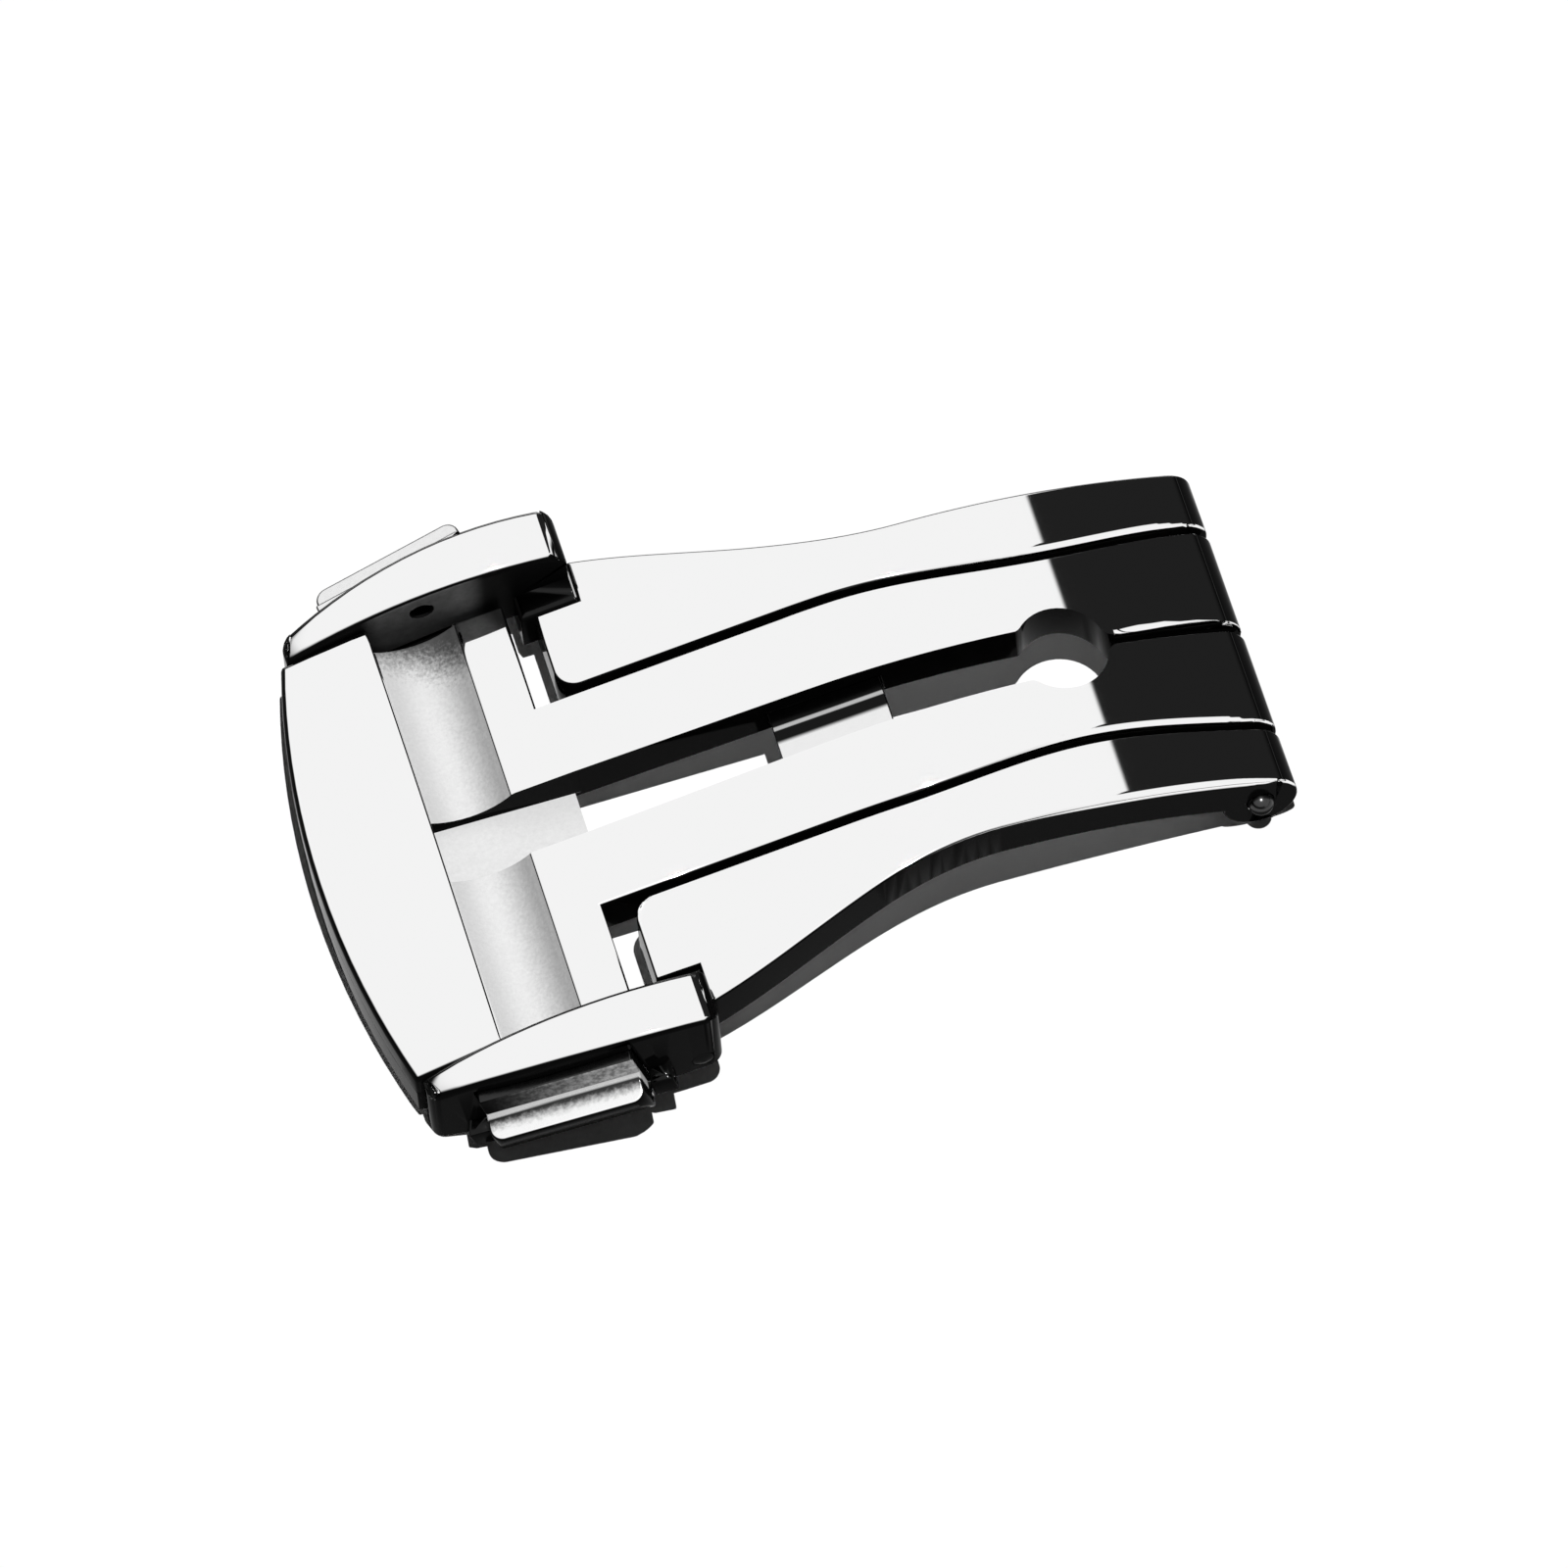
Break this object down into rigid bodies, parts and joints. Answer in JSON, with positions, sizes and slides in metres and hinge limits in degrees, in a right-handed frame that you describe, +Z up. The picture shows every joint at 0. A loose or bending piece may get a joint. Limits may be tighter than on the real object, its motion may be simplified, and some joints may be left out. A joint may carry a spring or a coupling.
{
  "type": "deployant clasp",
  "caption": "Folding deployant clasp: a bowed head with side push buttons sits on arched outer blades that hinge round a slotted inner leaf.",
  "frame": {"origin": "middle of the bounding box on the plane that the closed clasp lies on", "axes": "+X from the head to the hinge, +Y across the strap to the far side, +Z up away from the wrist"},
  "size_m": [0.0362, 0.0258, 0.0054],
  "materials": {
    "polished_steel": "mirror-polished stainless steel",
    "brushed_steel": "finely brushed stainless steel",
    "pin_steel": "turned stainless steel",
    "spring_steel": "drawn spring wire"
  },
  "bodies": {
    "inner_leaf": {"inner_frame": "polished_steel", "slot_web": "polished_steel"},
    "outer_leaf": {"head_body": "polished_steel", "front_plate": "polished_steel", "plate_screws": "pin_steel", "outer_blade_near": "polished_steel", "outer_blade_far": "polished_steel", "hinge_pin": "pin_steel", "blade_rivet_near": "pin_steel", "blade_rivet_far": "pin_steel", "button_pin_near": "pin_steel", "button_pin_far": "pin_steel", "button_springs_near": "spring_steel", "button_springs_far": "spring_steel"},
    "push_button_near": {"button_near": "brushed_steel", "catch_near": "brushed_steel"},
    "push_button_far": {"button_far": "brushed_steel", "catch_far": "brushed_steel"}
  },
  "joints": [
    {"name": "clasp_hinge", "type": "hinge", "parent": "inner_leaf", "child": "outer_leaf", "pos_m": [0.01663, 0, 0.00145], "axis": [0, 1, 0], "range_deg": [0, 165]},
    {"name": "button_near_press", "type": "slide", "parent": "outer_leaf", "child": "push_button_near", "axis": [0.1176, 0.9927, 0.028], "range_m": [0, 0.0005], "stiffness_N_per_m": 1500, "deforming": ["button_springs_near"]},
    {"name": "button_far_press", "type": "slide", "parent": "outer_leaf", "child": "push_button_far", "axis": [0.1176, -0.9927, 0.028], "range_m": [0, 0.0005], "stiffness_N_per_m": 1500, "deforming": ["button_springs_far"]}
  ]
}
